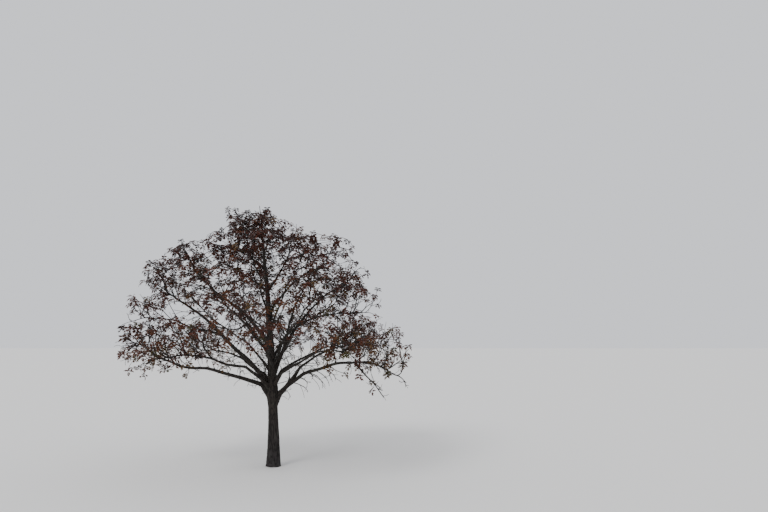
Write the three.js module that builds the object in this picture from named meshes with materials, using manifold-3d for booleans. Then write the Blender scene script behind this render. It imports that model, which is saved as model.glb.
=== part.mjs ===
// A young common walnut tree with room on every side, in its first thin spring leaf.
// One straight trunk forks at head height and runs on as a leader to the tip of a broad dome.
// Boughs leave it in three tiers. Each ends where it enters its own mass of foliage.
// Millimetres, +Z up. The origin is the middle of the flat cut at ground level.
// Bearings are degrees seen from above: 0 is right (+X), 90 is away (+Y), 180 is left.

import * as THREE from 'three';
import { mergeVertices } from 'three/addons/utils/BufferGeometryUtils.js';
import Module from 'manifold-3d';

const wasm = await Module();
wasm.setup();

// The trunk and its leader
const TREE_HEIGHT = 9330;
const LEAN_OF_TIP = -760;
const LEAN_POWER = 1.6;
const TRUNK_SWAY = 22;
const TRUNK_SWAYS = 3.5;
const TRUNK_SIDES = 12;
const TRUNK_STEPS = 21;
const TRUNK_CROWDING = 1.4;

// Trunk radius against height, from the ground to the tip
const TRUNK_TAPER = [
  { height: 0, radius: 226 },
  { height: 500, radius: 216 },
  { height: 1000, radius: 200 },
  { height: 1400, radius: 179 },
  { height: 2050, radius: 166 },
  { height: 2250, radius: 196 },
  { height: 2450, radius: 216 },
  { height: 3300, radius: 150 },
  { height: 4700, radius: 114 },
  { height: 5700, radius: 91 },
  { height: 7100, radius: 62 },
  { height: 8300, radius: 30 },
  { height: TREE_HEIGHT, radius: 9 },
];

// The root flare spreads the foot into a few blunt ribs
const FLARE_SPREAD = 38;
const FLARE_HEIGHT = 320;
const FLARE_RIBS = 5;
const FLARE_RIB_DEPTH = 0.5;

// How every bough is drawn
const BOUGH_SIDES = 6;
const BOUGH_STEP = 740;
const FEWEST_STEPS = 5;
const COLLAR_SWELL = 0.5;
const COLLAR_LENGTH = 300;
const START_HANDLE = 0.26;
const END_HANDLE = 0.36;
const BOUGH_SWAY = 0.014;
const BOUGH_SWAYS = 2.2;

// How every mass of foliage is drawn
const MASS_DETAIL = 2;
const SMALL_MASS = 450;
const SMALL_MASS_DETAIL = 1;
const MASS_WAVES = 7;
const MASS_WAVE_HEIGHT = 0.075;
const SHORTEST_WAVE_TURN = 2;
const WAVE_TURN_RANGE = 3.4;
const FIRST_SEED = 11;
const SEED_STEP = 7;

// Gap left between pieces that touch
const SEAT_GAP = 0.35;

// Points at which a limb's direction is worked out
const LIMB_STATIONS = 200;

// Each bough: where it leaves its carrier, measured along that carrier, and where it is heading.
// bearing, out and height place its far end, low in the heart of its mass.
// leaves and ends are its slopes there, in degrees above level, and swing bows it sideways.
// mass gives the half sizes of its foliage: outward, around the crown, and up. tilt raises its outer end.
const BOUGHS = [
  // Low tier: long level boughs from the fork, with the foliage spread along their outer halves
  { name: 'low_right', from: 'trunk', at: 2240, bearing: 353, out: 4080, height: 3570,
    leaves: 60, ends: -12, swing: 0, thick: 86, thin: 28, mass: [920, 1300, 800], tilt: -8 },
  { name: 'low_right_upper', from: 'low_right', at: 830, bearing: 21, out: 3620, height: 4240,
    leaves: 68, ends: -8, swing: 60, thick: 56, thin: 20, mass: [960, 1120, 690], tilt: 0 },
  { name: 'low_left', from: 'trunk', at: 2240, bearing: 186, out: 4520, height: 3700,
    leaves: 74, ends: 16, swing: 0, thick: 90, thin: 25, mass: [1070, 1420, 890], tilt: 4 },
  { name: 'low_front_left', from: 'trunk', at: 2560, bearing: 228, out: 4130, height: 4060,
    leaves: 60, ends: 10, swing: -120, thick: 66, thin: 20, mass: [1120, 1230, 820], tilt: 0 },
  { name: 'low_front', from: 'trunk', at: 2900, bearing: 269, out: 3930, height: 4540,
    leaves: 62, ends: 8, swing: 130, thick: 52, thin: 18, mass: [1160, 1250, 790], tilt: 3 },
  { name: 'low_front_right', from: 'trunk', at: 2680, bearing: 311, out: 4080, height: 4060,
    leaves: 62, ends: 4, swing: 120, thick: 56, thin: 20, mass: [1090, 1290, 790], tilt: -2 },
  { name: 'low_back_right', from: 'trunk', at: 2740, bearing: 54, out: 4160, height: 4240,
    leaves: 60, ends: 8, swing: 140, thick: 56, thin: 20, mass: [1120, 1310, 840], tilt: 0 },
  { name: 'low_back', from: 'trunk', at: 3040, bearing: 91, out: 4080, height: 4520,
    leaves: 60, ends: 10, swing: -130, thick: 52, thin: 18, mass: [1120, 1250, 820], tilt: 3 },
  { name: 'low_back_left', from: 'trunk', at: 2600, bearing: 142, out: 4360, height: 4100,
    leaves: 58, ends: 8, swing: -140, thick: 66, thin: 20, mass: [1160, 1370, 870], tilt: 2 },

  // Middle tier: boughs that climb at about half a right angle
  { name: 'mid_left', from: 'trunk', at: 2450, bearing: 173, out: 4500, height: 6400,
    leaves: 64, ends: 36, swing: 80, thick: 98, thin: 26, mass: [960, 1230, 790], tilt: 10 },
  { name: 'mid_left_lower', from: 'mid_left', at: 2900, bearing: 192, out: 4550, height: 5240,
    leaves: 14, ends: 10, swing: 40, thick: 35, thin: 16, mass: [810, 1000, 520], tilt: 4 },
  { name: 'mid_left_inner', from: 'trunk', at: 3200, bearing: 208, out: 2900, height: 5350,
    leaves: 62, ends: 22, swing: -90, thick: 42, thin: 18, mass: [830, 1000, 620], tilt: 6 },
  { name: 'mid_front_left', from: 'trunk', at: 3500, bearing: 243, out: 3450, height: 5940,
    leaves: 66, ends: 28, swing: -100, thick: 50, thin: 18, mass: [960, 1200, 790], tilt: 8 },
  { name: 'mid_front_right', from: 'trunk', at: 3350, bearing: 301, out: 3350, height: 5850,
    leaves: 68, ends: 26, swing: 110, thick: 43, thin: 17, mass: [960, 1200, 770], tilt: 8 },
  { name: 'mid_right', from: 'trunk', at: 2850, bearing: 7, out: 2660, height: 6400,
    leaves: 82, ends: 12, swing: 60, thick: 68, thin: 22, mass: [670, 1090, 650], tilt: 4 },
  { name: 'mid_right_lower', from: 'mid_right', at: 2200, bearing: 347, out: 3180, height: 5480,
    leaves: 30, ends: 8, swing: -60, thick: 38, thin: 16, mass: [810, 980, 530], tilt: 2 },
  { name: 'mid_back_right', from: 'trunk', at: 3650, bearing: 52, out: 3500, height: 6000,
    leaves: 66, ends: 26, swing: 100, thick: 43, thin: 17, mass: [980, 1200, 790], tilt: 8 },
  { name: 'mid_back_left', from: 'trunk', at: 3450, bearing: 124, out: 3650, height: 5950,
    leaves: 64, ends: 28, swing: -110, thick: 52, thin: 18, mass: [1020, 1250, 820], tilt: 8 },

  // High tier: slender boughs that carry the dome
  { name: 'high_left', from: 'trunk', at: 4150, bearing: 183, out: 3280, height: 7000,
    leaves: 62, ends: 38, swing: 60, thick: 78, thin: 22, mass: [960, 1080, 690], tilt: 14 },
  { name: 'high_left_inner', from: 'trunk', at: 6120, bearing: 187, out: 2000, height: 7260,
    leaves: 50, ends: 42, swing: -40, thick: 33, thin: 14, mass: [600, 800, 460], tilt: 6 },
  { name: 'high_front', from: 'trunk', at: 4900, bearing: 256, out: 2200, height: 7350,
    leaves: 68, ends: 34, swing: -70, thick: 42, thin: 15, mass: [860, 1030, 670], tilt: 10 },
  { name: 'high_front_right', from: 'trunk', at: 4650, bearing: 305, out: 2060, height: 7080,
    leaves: 70, ends: 32, swing: 70, thick: 40, thin: 15, mass: [810, 980, 620], tilt: 6 },
  { name: 'high_right', from: 'mid_right', at: 1420, bearing: 352, out: 2010, height: 7400,
    leaves: 86, ends: 38, swing: -60, thick: 43, thin: 15, mass: [770, 1030, 600], tilt: -8 },
  { name: 'high_back_right', from: 'trunk', at: 5150, bearing: 60, out: 2030, height: 7180,
    leaves: 74, ends: 32, swing: 60, thick: 45, thin: 15, mass: [830, 980, 670], tilt: 6 },
  { name: 'high_back_left', from: 'trunk', at: 5450, bearing: 118, out: 2200, height: 7440,
    leaves: 70, ends: 32, swing: -60, thick: 40, thin: 15, mass: [880, 1070, 670], tilt: 8 },
  { name: 'crown_left', from: 'trunk', at: 6900, bearing: 178, out: 2030, height: 8000,
    leaves: 60, ends: 28, swing: 40, thick: 25, thin: 11, mass: [580, 1040, 450], tilt: 8 },
  { name: 'crown_right', from: 'trunk', at: 6200, bearing: 7, out: 550, height: 7970,
    leaves: 46, ends: 74, swing: -40, thick: 42, thin: 14, mass: [610, 1080, 540], tilt: -22 },
  { name: 'crown_tuft', from: 'trunk', at: 7400, bearing: 174, out: 1700, height: 8920,
    leaves: 22, ends: 64, swing: 20, thick: 20, thin: 10, mass: [380, 580, 270], tilt: 6 },
];

// A mass stands above its bough's end by this share of its half height, as shoots grow upward
const MASS_LIFT = 0.45;

// One thin bare branch hangs under the low right bough and carries no mass
const HANGING_BRANCH = {
  name: 'low_right_hanging_branch', from: 'low_right', at: 3380, bearing: 345, out: 4070, height: 2440,
  leaves: -44, ends: -38, swing: 0, thick: 30, thin: 15,
};

// The topmost mass closes round the leader
const TOP_MASS = {
  name: 'crown_top_foliage', beside: -540, across: 670, deep: 1150, tall: 550, below: 620, seed: 71,
};

// Colours and finish
const BARK_COLOUR = 0x3f3731;
const BARK_ROUGHNESS = 0.95;
const BRONZE_LEAF = 0x6b3f26;
const OLIVE_LEAF = 0x5c5a2c;
const LEAF_ROUGHNESS = 0.7;

const group = new THREE.Group();
const UP = new THREE.Vector3(0, 0, 1);

// Seeded random numbers from 0 to 1, so that the tree is the same each time
const RANDOM_FACTOR = 1664525;
const RANDOM_STEP = 1013904223;
const RANDOM_RANGE = 2 ** 32;
function seededRandom(seed) {
  let state = seed >>> 0;
  return () => {
    state = (Math.imul(state, RANDOM_FACTOR) + RANDOM_STEP) >>> 0;
    return state / RANDOM_RANGE;
  };
}

// A closed geometry with its shared corners merged, as a solid
function solidOf(geometry) {
  const triVerts = [];
  const corners = geometry.index.array;
  for (let i = 0; i < corners.length; i += 3) {
    const [a, b, c] = corners.slice(i, i + 3);
    const flat = a === b || b === c || c === a;
    if (!flat) {
      triVerts.push(a, b, c);
    }
  }
  return new wasm.Manifold(new wasm.Mesh({
    numProp: 3,
    vertProperties: new Float32Array(geometry.attributes.position.array),
    triVerts: new Uint32Array(triVerts),
  }));
}

// A cut can leave small offcuts, and only the main piece is kept
function mainPiece(solid) {
  const pieces = solid.decompose();
  return pieces.reduce((best, piece) => (piece.volume() > best.volume() ? piece : best));
}

// Hangs a solid in the group as a named mesh with a material of its own
function addPiece(name, solid, colour, roughness) {
  const cut = mainPiece(solid).getMesh();
  const geometry = new THREE.BufferGeometry();
  geometry.setAttribute('position', new THREE.BufferAttribute(new Float32Array(cut.vertProperties), 3));
  geometry.setIndex(new THREE.BufferAttribute(new Uint32Array(cut.triVerts), 1));
  geometry.computeVertexNormals();
  const material = new THREE.MeshStandardMaterial({ color: colour, roughness, metalness: 0 });
  const mesh = new THREE.Mesh(geometry, material);
  mesh.name = name;
  group.add(mesh);
}

function withSharedCorners(geometry) {
  geometry.deleteAttribute('normal');
  geometry.deleteAttribute('uv');
  return mergeVertices(geometry);
}

function outward(bearing) {
  const angle = THREE.MathUtils.degToRad(bearing);
  return new THREE.Vector3(Math.cos(angle), Math.sin(angle), 0);
}

function sloped(bearing, slope) {
  const angle = THREE.MathUtils.degToRad(slope);
  return outward(bearing).multiplyScalar(Math.cos(angle)).addScaledVector(UP, Math.sin(angle));
}

// The trunk's centre line: upright at the ground, then leaning more and more towards its tip
class TrunkPath extends THREE.Curve {
  getPoint(t, target = new THREE.Vector3()) {
    const lean = LEAN_OF_TIP * t ** LEAN_POWER;
    const sway = TRUNK_SWAY * t * Math.sin(t * TRUNK_SWAYS * 2 * Math.PI);
    return target.set(lean + sway, -sway, t * TREE_HEIGHT);
  }
}

// A bough's centre line: a cubic curve with a slow sway
class BoughPath extends THREE.Curve {
  constructor(start, spec) {
    super();
    const tip = outward(spec.bearing).multiplyScalar(spec.out).addScaledVector(UP, spec.height);
    const flat = tip.clone().sub(start).setZ(0).normalize();
    const bearing = THREE.MathUtils.radToDeg(Math.atan2(flat.y, flat.x));
    const length = tip.distanceTo(start);
    this.side = new THREE.Vector3(-flat.y, flat.x, 0);
    const bow = this.side.clone().multiplyScalar(spec.swing);
    const first = start.clone().addScaledVector(sloped(bearing, spec.leaves), length * START_HANDLE);
    const last = tip.clone().addScaledVector(sloped(bearing, spec.ends), -length * END_HANDLE);
    this.spine = new THREE.CubicBezierCurve3(start, first.add(bow), last.add(bow), tip);
    this.sway = length * BOUGH_SWAY;
    this.phase = spec.bearing;
  }

  getPoint(t, target = new THREE.Vector3()) {
    const swell = this.sway * Math.sin(Math.PI * t);
    const turn = BOUGH_SWAYS * 2 * Math.PI * t + this.phase;
    return this.spine.getPoint(t, target)
      .addScaledVector(this.side, swell * Math.sin(turn))
      .addScaledVector(UP, swell * Math.cos(turn));
  }
}

// A limb is turned straight, from its foot to its tip, and then laid along its path.
// Its rings crowd towards its foot when crowding is over 1.
function limbSolid(path, steps, crowding, sides, radiusAt) {
  const profile = [new THREE.Vector2(0, 0)];
  for (let step = 0; step <= steps; step += 1) {
    profile.push(new THREE.Vector2(1, step));
  }
  profile.push(new THREE.Vector2(0, steps));
  const geometry = withSharedCorners(new THREE.LatheGeometry(profile, sides));
  const { normals, binormals } = path.computeFrenetFrames(LIMB_STATIONS, false);
  const position = geometry.attributes.position;
  for (let i = 0; i < position.count; i += 1) {
    const step = Math.round(position.getY(i));
    const station = Math.round((step / steps) ** crowding * LIMB_STATIONS);
    const along = station / LIMB_STATIONS;
    const angle = Math.atan2(position.getZ(i), position.getX(i));
    const onAxis = Math.hypot(position.getX(i), position.getZ(i)) < 0.5;
    const radius = onAxis ? 0 : radiusAt(along, angle);
    const place = path.getPointAt(along)
      .addScaledVector(normals[station], radius * Math.cos(angle))
      .addScaledVector(binormals[station], -radius * Math.sin(angle));
    position.setXYZ(i, place.x, place.y, place.z);
  }
  return solidOf(geometry);
}

function trunkRadius(height) {
  const upper = Math.max(1, TRUNK_TAPER.findIndex((ring) => ring.height >= height));
  const above = TRUNK_TAPER[upper];
  const below = TRUNK_TAPER[upper - 1];
  const share = (height - below.height) / (above.height - below.height);
  return THREE.MathUtils.lerp(below.radius, above.radius, share);
}

function trunkSolid(path, extra) {
  return limbSolid(path, TRUNK_STEPS, TRUNK_CROWDING, TRUNK_SIDES, (along, angle) => {
    const height = along * TREE_HEIGHT;
    const flare = FLARE_SPREAD * Math.exp(-height / FLARE_HEIGHT);
    const ribs = 1 + FLARE_RIB_DEPTH * Math.cos(angle * FLARE_RIBS);
    return trunkRadius(height) + flare * ribs + extra;
  });
}

function boughSolid(path, spec, extra) {
  const length = path.getLength();
  const steps = Math.max(FEWEST_STEPS, Math.round(length / BOUGH_STEP));
  return limbSolid(path, steps, 1, BOUGH_SIDES, (along) => {
    const collar = 1 + COLLAR_SWELL * Math.exp(-along * length / COLLAR_LENGTH);
    return THREE.MathUtils.lerp(spec.thick, spec.thin, along) * collar + extra;
  });
}

// A mass is an uneven, lumpy ball: long waves run round it in directions of their own
function massSolid(shape, extra) {
  const random = seededRandom(shape.seed);
  const waves = Array.from({ length: MASS_WAVES }, () => ({
    along: new THREE.Vector3(random() - 0.5, random() - 0.5, random() - 0.5)
      .setLength(SHORTEST_WAVE_TURN + WAVE_TURN_RANGE * random()),
    phase: random() * 2 * Math.PI,
  }));
  const detail = shape.half.x < SMALL_MASS ? SMALL_MASS_DETAIL : MASS_DETAIL;
  const geometry = withSharedCorners(new THREE.IcosahedronGeometry(1, detail));
  const position = geometry.attributes.position;
  const turn = new THREE.Matrix4().makeBasis(
    sloped(shape.bearing, shape.tilt),
    outward(shape.bearing + 90),
    sloped(shape.bearing, shape.tilt + 90),
  );
  for (let i = 0; i < position.count; i += 1) {
    const ray = new THREE.Vector3().fromBufferAttribute(position, i);
    const lumps = waves.reduce((sum, wave) => sum + Math.sin(wave.along.dot(ray) + wave.phase), 0);
    const place = ray.clone().multiply(shape.half).multiplyScalar(1 + MASS_WAVE_HEIGHT * lumps);
    place.setLength(place.length() + extra).applyMatrix4(turn).add(shape.centre);
    position.setXYZ(i, place.x, place.y, place.z);
  }
  return solidOf(geometry);
}

// The trunk
const limbs = { trunk: { path: new TrunkPath() } };
limbs.trunk.room = trunkSolid(limbs.trunk.path, SEAT_GAP);
addPiece('trunk', trunkSolid(limbs.trunk.path, 0), BARK_COLOUR, BARK_ROUGHNESS);

// The shape of each mass, at the far end of its bough
const masses = BOUGHS.map((spec, index) => ({
  name: `${spec.name}_foliage`,
  bearing: spec.bearing,
  tilt: spec.tilt,
  half: new THREE.Vector3(...spec.mass),
  centre: outward(spec.bearing).multiplyScalar(spec.out)
    .addScaledVector(UP, spec.height + MASS_LIFT * spec.mass[2]),
  seed: FIRST_SEED + SEED_STEP * index,
}));
masses.push({
  name: TOP_MASS.name,
  bearing: 0,
  tilt: 0,
  half: new THREE.Vector3(TOP_MASS.across, TOP_MASS.deep, TOP_MASS.tall),
  centre: new THREE.Vector3(TOP_MASS.beside, 0, TREE_HEIGHT - TOP_MASS.below),
  seed: TOP_MASS.seed,
});

// Each bough is seated on its carrier and stops at its own mass
for (const spec of [...BOUGHS, HANGING_BRANCH]) {
  const carrier = limbs[spec.from];
  const start = carrier.path.getPointAt(spec.at / carrier.path.getLength());
  const path = new BoughPath(start, spec);
  const room = boughSolid(path, spec, SEAT_GAP);
  let solid = boughSolid(path, spec, 0);
  for (const other of Object.values(limbs)) {
    solid = solid.subtract(other.room);
  }
  limbs[spec.name] = { path, room };
  const mass = masses.find((shape) => shape.name === `${spec.name}_foliage`);
  if (mass) {
    solid = solid.subtract(massSolid(mass, SEAT_GAP));
  }
  addPiece(spec.name, solid, BARK_COLOUR, BARK_ROUGHNESS);
}

// Each mass keeps clear of the trunk and of the masses before it
const placed = [];
for (const shape of masses) {
  let solid = massSolid(shape, 0).subtract(limbs.trunk.room);
  for (const other of placed) {
    solid = solid.subtract(other);
  }
  placed.push(massSolid(shape, SEAT_GAP));
  const bronze = shape.centre.z / TREE_HEIGHT;
  const colour = new THREE.Color(OLIVE_LEAF).lerp(new THREE.Color(BRONZE_LEAF), bronze);
  addPiece(shape.name, solid, colour, LEAF_ROUGHNESS);
}

export default group;
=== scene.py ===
# %% [markdown]
# # A walnut tree in its first spring leaf
#
# The tree stands alone, so it has a short clean trunk, a fork at head height and a broad, open dome.
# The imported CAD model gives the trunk, each bough and each mass of foliage as one closed solid. This
# lesson reads their places and sizes out of that frame, dresses the wood with real bark, and grows
# branches, twigs and sprays of leaves inside the masses, where the solids only say how far they reach.

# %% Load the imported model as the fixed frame
import math

import bpy
import numpy as np
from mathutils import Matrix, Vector
from mathutils.bvhtree import BVHTree


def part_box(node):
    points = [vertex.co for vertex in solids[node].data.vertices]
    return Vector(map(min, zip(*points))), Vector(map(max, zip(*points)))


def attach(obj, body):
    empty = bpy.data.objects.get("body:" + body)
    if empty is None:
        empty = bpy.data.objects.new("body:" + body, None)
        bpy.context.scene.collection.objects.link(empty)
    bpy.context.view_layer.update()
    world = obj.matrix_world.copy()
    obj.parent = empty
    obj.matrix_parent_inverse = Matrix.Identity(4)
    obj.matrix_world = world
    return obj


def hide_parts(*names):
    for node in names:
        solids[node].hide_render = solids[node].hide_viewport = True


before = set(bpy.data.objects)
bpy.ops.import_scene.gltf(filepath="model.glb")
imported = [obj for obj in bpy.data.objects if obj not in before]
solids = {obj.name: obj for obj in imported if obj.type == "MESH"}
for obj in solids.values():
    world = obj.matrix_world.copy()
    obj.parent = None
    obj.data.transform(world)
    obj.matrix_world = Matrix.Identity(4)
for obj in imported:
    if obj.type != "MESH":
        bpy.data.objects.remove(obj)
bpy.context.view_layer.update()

# %% [markdown]
# The camera stands some 22 m in front of the tree, 4.4 m above its foot, and is tipped up a little. The
# lens is worked out from how the tree sits in the picture. The camera comes first, so that every later
# step can be looked at. The studio around the tree is only a wide pale floor, an even pale backdrop and
# one broad soft lamp: a dark, thin crown needs something clean and bright behind it, and no hard shadows.

# %% The camera
CAMERA_PLACE = (3.88, -21.78, 4.38)
CAMERA_TIPPED_UP = 8
LENS = 28
FILM_WIDTH = 36

camera_data = bpy.data.cameras.new("camera")
camera_data.lens = LENS
camera_data.sensor_width = FILM_WIDTH
camera = bpy.data.objects.new("camera", camera_data)
camera.location = CAMERA_PLACE
camera.rotation_euler = (math.radians(90 + CAMERA_TIPPED_UP), 0, 0)
bpy.context.scene.collection.objects.link(camera)
bpy.context.scene.camera = camera
print(f"the camera has a {LENS} mm lens, {CAMERA_TIPPED_UP} degrees up")

# %% [markdown]
# A material is a small graph of nodes. Written node by node it is hard to read, so a class wraps one
# socket and lets sums be written as sums. Colours go through a Mix node, because a Math node would
# turn them grey. One method makes any other kind of node.

# %% Shader maths written as Python
class Wire:
    """One output socket in a finish, which can be added, multiplied and so on."""

    def __init__(self, finish, socket):
        self.finish = finish
        self.socket = socket

    def maths(self, operation, first, second, clamp=False):
        settings = {"operation": operation, "use_clamp": clamp}
        return self.finish.node("ShaderNodeMath", settings, {0: first, 1: second})

    def __add__(self, other):
        return self.maths("ADD", self, other)

    __radd__ = __add__

    def __sub__(self, other):
        return self.maths("SUBTRACT", self, other)

    def __rsub__(self, other):
        return self.maths("SUBTRACT", other, self)

    def __mul__(self, other):
        return self.maths("MULTIPLY", self, other)

    __rmul__ = __mul__

    def clamped(self):
        return self.maths("ADD", self, 0, clamp=True)


class Finish:
    """A material, with the tools to wire it."""

    def __init__(self, name):
        self.material = bpy.data.materials.new(name)
        self.material.use_nodes = True
        self.tree = self.material.node_tree
        self.shader = next(n for n in self.tree.nodes if n.type == "BSDF_PRINCIPLED")

    def put(self, socket, value):
        if isinstance(value, Wire):
            self.tree.links.new(value.socket, socket)
        else:
            socket.default_value = value

    def node(self, kind, settings=None, sockets=None, output=0):
        """Makes a node of that kind, sets it up, then fills its sockets."""
        made = self.tree.nodes.new(kind)
        for setting, value in (settings or {}).items():
            setattr(made, setting, value)
        for socket, value in (sockets or {}).items():
            self.put(made.inputs[socket], value)
        return Wire(self, made.outputs[output])

    def blend(self, share, first, second):
        """Goes from the first colour to the second as share goes from 0 to 1."""
        settings = {"data_type": "RGBA", "clamp_factor": True}
        return self.node("ShaderNodeMix", settings, {0: share, 6: first, 7: second}, output=2)

    def cloud(self, place, scale, detail):
        """Soft random patches from 0 to 1, about 1 / scale metres across."""
        sockets = {"Vector": place, "Scale": scale, "Detail": detail}
        return self.node("ShaderNodeTexNoise", None, sockets)

    def surface(self, **sockets):
        """Fills the shader's sockets: Base_Color=... for Base Color."""
        for name, value in sockets.items():
            self.put(self.shader.inputs[name.replace("_", " ")], value)
        return self.material


print("shader maths is ready")

# %% [markdown]
# Walnut bark is smooth and ash-grey on young wood, and breaks into long deep furrows on the trunk. The
# furrows are real dents in the mesh further down, and the mesh carries how deep each point lies. The
# finish reads that and paints shade into the furrows, darker the deeper they are. On top come weathered
# patches, a violet-grey cast near the ground, and a fine grain that is too small to model.

# %% Finishes for the wood
def colour(red, green, blue):
    return (red, green, blue, 1.0)


FAINT_SHINE = 0.25
RIDGE_DARK, RIDGE_LIGHT = colour(0.016, 0.013, 0.011), colour(0.050, 0.041, 0.035)
RIDGE_WEATHERED = colour(0.046, 0.045, 0.036)
RIDGE_NEAR_GROUND = colour(0.030, 0.028, 0.033)
# painted shade: the near-black colour painted into the bottom of the furrows
FURROW_PAINTED_SHADE = colour(0.008, 0.0065, 0.006)
BRANCH_DARK, BRANCH_LIGHT = colour(0.014, 0.011, 0.009), colour(0.038, 0.030, 0.025)
BRANCH_WEATHERED = colour(0.036, 0.035, 0.028)
CAST_HEIGHT = 1.9
CAST_SLOPE = 0.5
CAST_SHARE = 0.55
FURROW_SHADE_GAIN = 1.3
BARK_PATCHES_OVER, BARK_PATCH_EDGE = 0.52, 5
BRANCH_PATCHES_OVER, BRANCH_PATCH_EDGE = 0.55, 4
BARK_ROUGHNESS, BRANCH_ROUGHNESS, SHOOT_ROUGHNESS = 0.78, 0.7, 0.6
GRAIN_ROUGHNESS = 0.2


def bark_finish():
    finish = Finish("furrowed_bark")
    place = finish.node("ShaderNodeTexCoord", output="Object")
    depth = finish.node("ShaderNodeAttribute", {"attribute_name": "furrow"}, output="Fac")
    height = finish.node("ShaderNodeSeparateXYZ", None, {0: place}, output="Z")
    grain = finish.cloud(place, scale=90.0, detail=4.0)
    patches = finish.cloud(place, scale=5.0, detail=3.0)
    ridge = finish.blend(grain, RIDGE_DARK, RIDGE_LIGHT)
    ridge = finish.blend((patches - BARK_PATCHES_OVER) * BARK_PATCH_EDGE, ridge, RIDGE_WEATHERED)
    low = ((CAST_HEIGHT - height) * CAST_SLOPE).clamped() * CAST_SHARE
    ridge = finish.blend(low, ridge, RIDGE_NEAR_GROUND)
    # painted shade: the deeper a point lies in a furrow, the nearer its colour comes to the near-black
    bark = finish.blend((depth * FURROW_SHADE_GAIN).clamped(), ridge, FURROW_PAINTED_SHADE)
    bump = finish.node("ShaderNodeBump", None, {"Strength": 0.5, "Distance": 0.003, "Height": grain})
    rough = BARK_ROUGHNESS + grain * GRAIN_ROUGHNESS
    return finish.surface(
        Base_Color=bark, Roughness=rough, Normal=bump, Specular_IOR_Level=FAINT_SHINE)


def branch_finish():
    finish = Finish("smooth_branch_bark")
    place = finish.node("ShaderNodeTexCoord", output="Object")
    grain = finish.cloud(place, scale=70.0, detail=3.0)
    patches = finish.cloud(place, scale=9.0, detail=2.0)
    base = finish.blend(grain, BRANCH_DARK, BRANCH_LIGHT)
    base = finish.blend((patches - BRANCH_PATCHES_OVER) * BRANCH_PATCH_EDGE, base, BRANCH_WEATHERED)
    bump = finish.node("ShaderNodeBump", None, {"Strength": 0.35, "Distance": 0.002, "Height": grain})
    rough = BRANCH_ROUGHNESS + grain * GRAIN_ROUGHNESS
    return finish.surface(
        Base_Color=base, Roughness=rough, Normal=bump, Specular_IOR_Level=FAINT_SHINE)


def plain_finish(name, base, roughness):
    return Finish(name).surface(Base_Color=base, Roughness=roughness, Specular_IOR_Level=FAINT_SHINE)


BARK = bark_finish()
BRANCH = branch_finish()
SHOOT = plain_finish("young_shoot", colour(0.020, 0.013, 0.009), SHOOT_ROUGHNESS)
print("three finishes for wood")

# %% [markdown]
# Walnut leaves open bronze to red-brown and turn olive as they spread. The tints are plain colours,
# ordered from olive to dark bronze, and each spray of leaves is dealt one of them.

# %% Finishes for the leaves
LEAF_TINTS = {
    "olive_leaf": colour(0.056, 0.048, 0.010),
    "tawny_leaf": colour(0.084, 0.042, 0.010),
    "copper_leaf": colour(0.090, 0.028, 0.008),
    "red_brown_leaf": colour(0.070, 0.016, 0.006),
    "bronze_leaf": colour(0.046, 0.013, 0.007),
    "dark_bronze_leaf": colour(0.026, 0.009, 0.005),
}
LEAF_ROUGHNESS = 0.48
leaf_finishes = [plain_finish(name, tint, LEAF_ROUGHNESS) for name, tint in LEAF_TINTS.items()]
print(f"{len(leaf_finishes)} leaf colours")

# %% [markdown]
# Each bough in the frame is a closed solid with no centreline of its own. A plane laid across it cuts
# a small face: the middle of that face is a point of the centreline, and its area gives the radius.
# Every triangle that the plane crosses gives one edge of the face, so the sums need no sorting.

# %% Cut a solid with a plane
STRAIGHT_UP = np.array([0.0, 0.0, 1.0])


def corners_of(name):
    """A solid's triangles, as corners in metres."""
    mesh = solids[name].data
    mesh.calc_loop_triangles()
    numbers = np.empty(len(mesh.loop_triangles) * 3, int)
    mesh.loop_triangles.foreach_get("vertices", numbers)
    places = np.empty(len(mesh.vertices) * 3)
    mesh.vertices.foreach_get("co", places)
    return places.reshape(-1, 3)[numbers].reshape(-1, 3, 3)


def cut(triangles, place, across):
    """The middle of the face where a plane cuts a solid, and the radius of a circle as large."""
    height = (triangles - place) @ across
    above = height > 0
    crossed = above.any(1) & ~above.all(1)
    corners, height, above = triangles[crossed], height[crossed], above[crossed]
    lone = np.where(above.sum(1) == 1, above.argmax(1), (~above).argmax(1))
    row = np.arange(len(lone))
    first, second = (lone + 1) % 3, (lone + 2) % 3
    ends = []
    for other in (first, second):
        share = height[row, lone] / (height[row, lone] - height[row, other])
        ends.append(corners[row, lone] * (1 - share)[:, None] + corners[row, other] * share[:, None])
    turn = np.where(above[row, lone], 1, -1)
    area = turn * (np.cross(ends[0] - place, ends[1] - place) @ across) / 2
    middle = ((ends[0] + ends[1] - 2 * place) / 3 * area[:, None]).sum(0) / area.sum() + place
    return middle, math.sqrt(abs(area.sum()) / math.pi)


trunk_triangles = corners_of("trunk")
_, radius = cut(trunk_triangles, 1.0 * STRAIGHT_UP, STRAIGHT_UP)
print(f"a metre up, the trunk is {2 * radius * 1000:.0f} mm thick")

# %% [markdown]
# A centreline of a dozen points would bend at each point. A smooth curve through them, read off at
# small even steps, gives the tube its rings and gives young branches many places to start from.

# %% A smooth line through points
LEAST_LENGTH = 1e-9
FEWEST_POINTS = 3


def unit(ways):
    return ways / np.maximum(np.linalg.norm(ways, axis=-1, keepdims=True), LEAST_LENGTH)


def lengths_along(points):
    return np.r_[0, np.cumsum(np.linalg.norm(np.diff(points, axis=0), axis=1))]


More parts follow.
